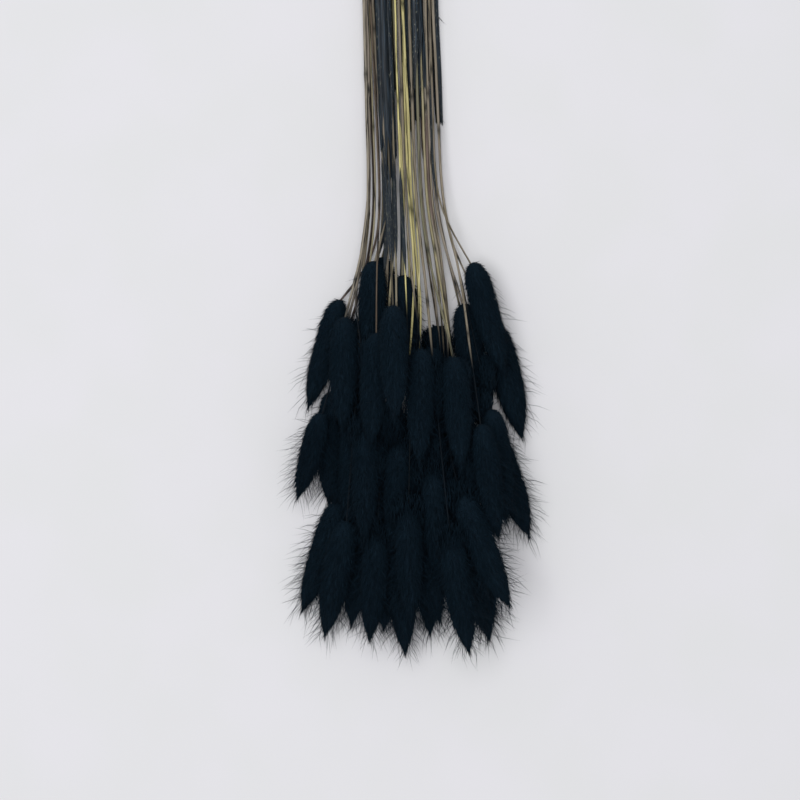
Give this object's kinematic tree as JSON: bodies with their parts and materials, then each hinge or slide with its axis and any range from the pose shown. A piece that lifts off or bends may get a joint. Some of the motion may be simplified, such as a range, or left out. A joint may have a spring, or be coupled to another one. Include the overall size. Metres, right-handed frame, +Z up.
{
  "type": "dried bunny tail grass bunch",
  "caption": "Tied bunch of dried, black-dyed bunny tail grass lying flat: soft ovoid flower heads in overlapping tiers on thin fanned stems, with a twine tie near the cut ends.",
  "frame": {"origin": "on the surface that the bunch lies on, under the middle of its box", "axes": "+Z up from the surface, +Y along the bunch towards the cut ends, with the flower heads towards -Y"},
  "size_m": [0.1172, 0.4608, 0.0539],
  "materials": {
    "head": "matte, hairy, dyed blue-black",
    "stem_black": "matte dyed leaf sheath",
    "stem_brown": "satin dried stem",
    "stem_straw": "satin dried stem",
    "twine": "matte twisted fibre"
  },
  "bodies": {
    "root": {"head_lower_01": "head", "head_lower_02": "head", "head_lower_03": "head", "head_lower_04": "head", "head_lower_05": "head", "head_lower_06": "head", "head_lower_07": "head", "head_lower_08": "head", "head_lower_09": "head", "head_lower_10": "head", "head_lower_11": "head", "head_lower_12": "head", "head_lower_13": "head", "head_middle_01": "head", "head_middle_02": "head", "head_middle_03": "head", "head_middle_04": "head", "head_middle_05": "head", "head_middle_06": "head", "head_middle_07": "head", "head_middle_08": "head", "head_middle_09": "head", "head_middle_10": "head", "head_middle_11": "head", "head_middle_12": "head", "head_middle_13": "head", "head_middle_14": "head", "head_upper_01": "head", "head_upper_02": "head", "head_upper_03": "head", "head_upper_04": "head", "head_upper_05": "head", "head_upper_06": "head", "head_upper_07": "head", "head_upper_08": "head", "head_upper_09": "head", "head_upper_10": "head", "head_upper_11": "head", "head_upper_12": "head", "head_upper_13": "head", "head_upper_14": "head", "head_upper_15": "head", "stems_black_1": "stem_black", "stems_black_2": "stem_black", "stems_black_3": "stem_black", "stems_black_4": "stem_black", "stems_black_5": "stem_black", "stems_brown_1": "stem_brown", "stems_brown_2": "stem_brown", "stems_brown_3": "stem_brown", "stems_brown_4": "stem_brown", "stems_straw_1": "stem_straw", "stems_straw_2": "stem_straw", "stems_straw_3": "stem_straw", "stems_straw_4": "stem_straw", "stems_straw_5": "stem_straw", "twine": "twine"}
  },
  "joints": []
}
